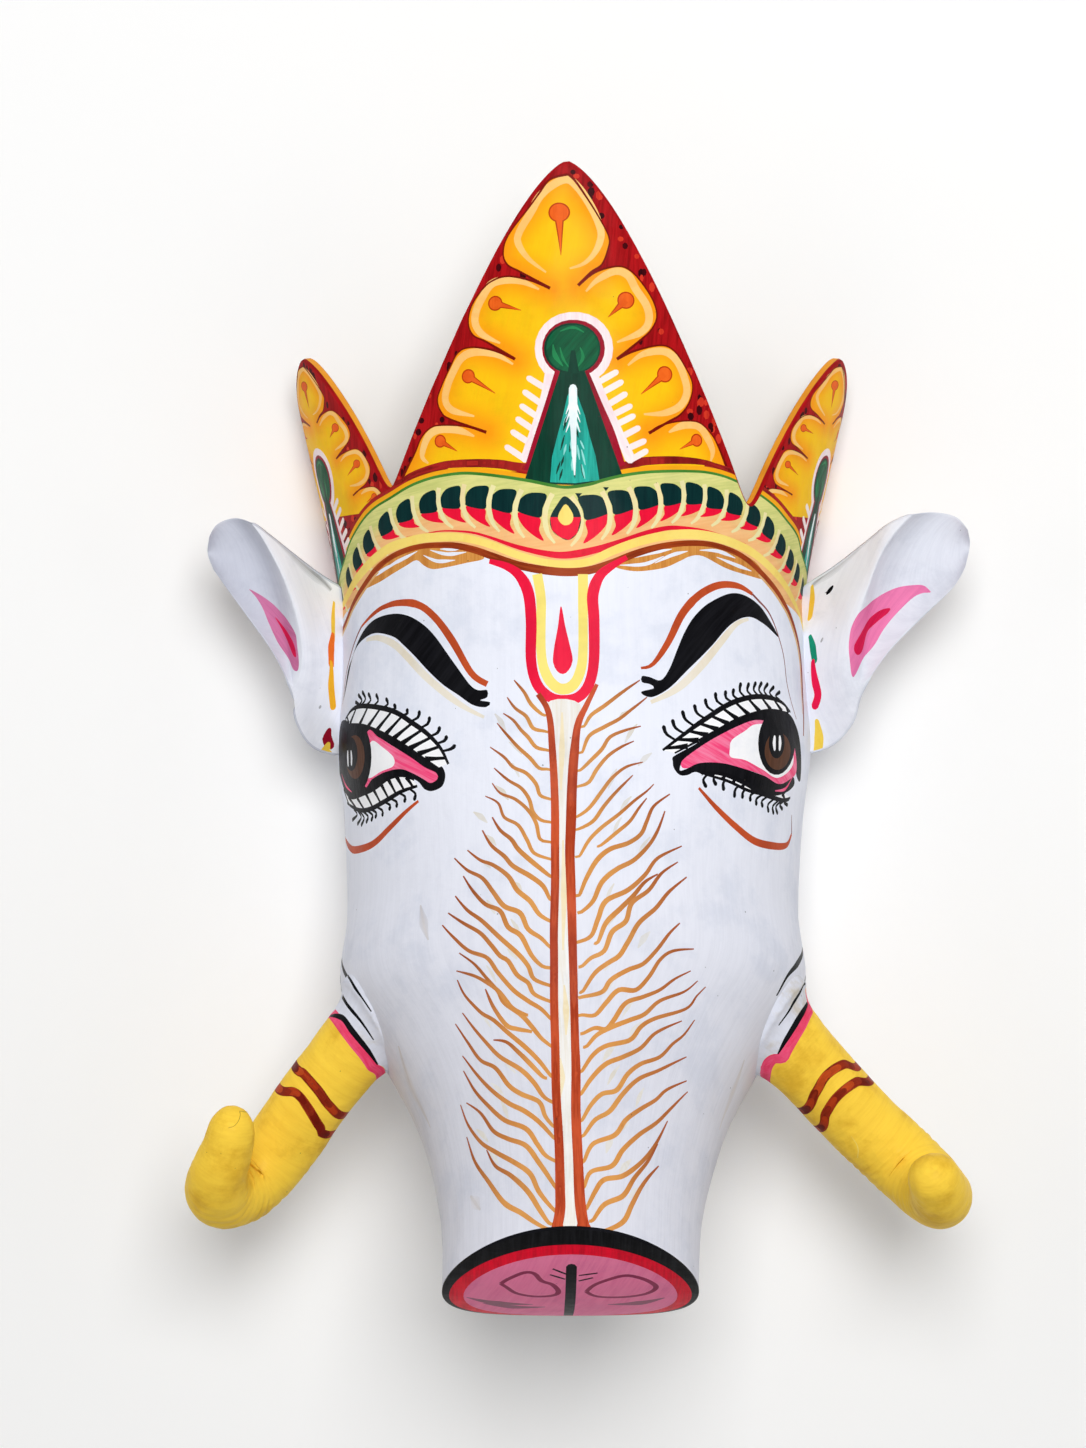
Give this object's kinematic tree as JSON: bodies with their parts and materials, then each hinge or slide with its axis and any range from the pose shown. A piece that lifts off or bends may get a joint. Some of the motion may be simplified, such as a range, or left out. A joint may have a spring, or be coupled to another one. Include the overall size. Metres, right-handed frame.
{
  "type": "boar face mask",
  "caption": "Hollow moulded boar face mask with a leaf-shaped crown, cupped ears, curled tusks and a long tapering snout ending in a flat nose plate.",
  "frame": {"origin": "middle of the mask's outline seen from the front, on the plane of the back rim", "axes": "+Z out of the face, +Y towards the crown, +X to the viewer's right as the mask is looked at"},
  "size_m": [0.2656, 0.381, 0.1644],
  "materials": {
    "painted_shell": "hand-painted papier-mache, satin",
    "painted_ear": "hand-painted papier-mache, satin",
    "painted_tusk": "wound paper, painted yellow, satin"
  },
  "bodies": {
    "root": {"mask_shell": "painted_shell", "ear_left": "painted_ear", "ear_right": "painted_ear", "tusk_left": "painted_tusk", "tusk_right": "painted_tusk"}
  },
  "joints": []
}
